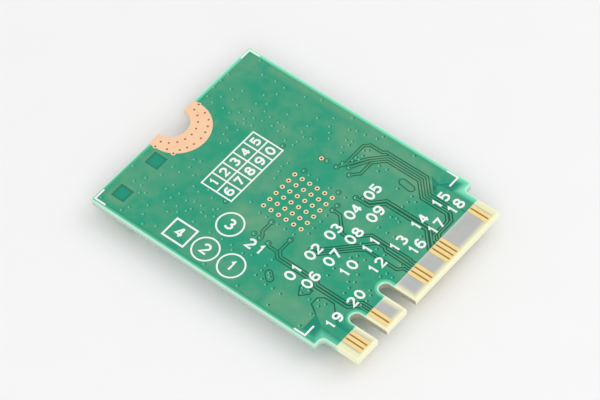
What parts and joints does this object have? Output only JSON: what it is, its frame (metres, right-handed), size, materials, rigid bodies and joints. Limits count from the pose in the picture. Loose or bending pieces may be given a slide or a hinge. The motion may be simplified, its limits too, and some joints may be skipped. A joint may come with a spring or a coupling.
{
  "type": "laptop wifi card",
  "caption": "Small edge-connector radio card with a keyed gilded tongue, half-round screw notch, shield can and two coaxial antenna receptacles.",
  "frame": {"origin": "centre of the card's outline on the outer face of the shield lid, which it lies on", "axes": "+Z out of the bare side, +Y along the card towards the screw notch, +X across the card"},
  "size_m": [0.022, 0.03, 0.0023],
  "materials": {
    "laminate": "woven glass laminate, matt",
    "solder_mask": "green film, satin gloss",
    "gilding": "thin gold over nickel, satin",
    "print": "white legend ink, matt",
    "tinned_sheet": "tinned steel sheet, satin",
    "tin": "tin plating, satin",
    "package": "black moulding, matt",
    "pale_ceramic": "fired ceramic, matt",
    "brown_ceramic": "fired ceramic, satin",
    "ferrite": "ferrite, matt",
    "copper_wire": "enamelled copper wire",
    "insulator": "liquid crystal polymer, matt"
  },
  "bodies": {
    "root": {"board": "laminate", "mask_bare_side": "solder_mask", "mask_component_side": "solder_mask", "contacts_bare_side": "gilding", "contacts_component_side": "gilding", "notch_plating": "gilding", "thermal_vias": "gilding", "test_point": "gilding", "corner_marks": "print", "print_rings": "print", "print_frame": "print", "shield_lid": "tinned_sheet", "shield_fence": "tinned_sheet", "processor_package": "package", "processor_leads": "tin", "front_end_1": "package", "front_end_2": "package", "power_regulator": "package", "crystal_base": "pale_ceramic", "crystal_cap": "tinned_sheet", "filter_bodies": "pale_ceramic", "filter_caps": "tin", "capacitor_bodies": "brown_ceramic", "capacitor_caps": "tin", "resistor_bodies": "package", "resistor_caps": "tin", "inductor_cores": "ferrite", "inductor_windings": "copper_wire", "antenna_1_shell": "gilding", "antenna_1_insulator": "insulator", "antenna_1_contact": "gilding", "antenna_2_shell": "gilding", "antenna_2_insulator": "insulator", "antenna_2_contact": "gilding"}
  },
  "joints": []
}
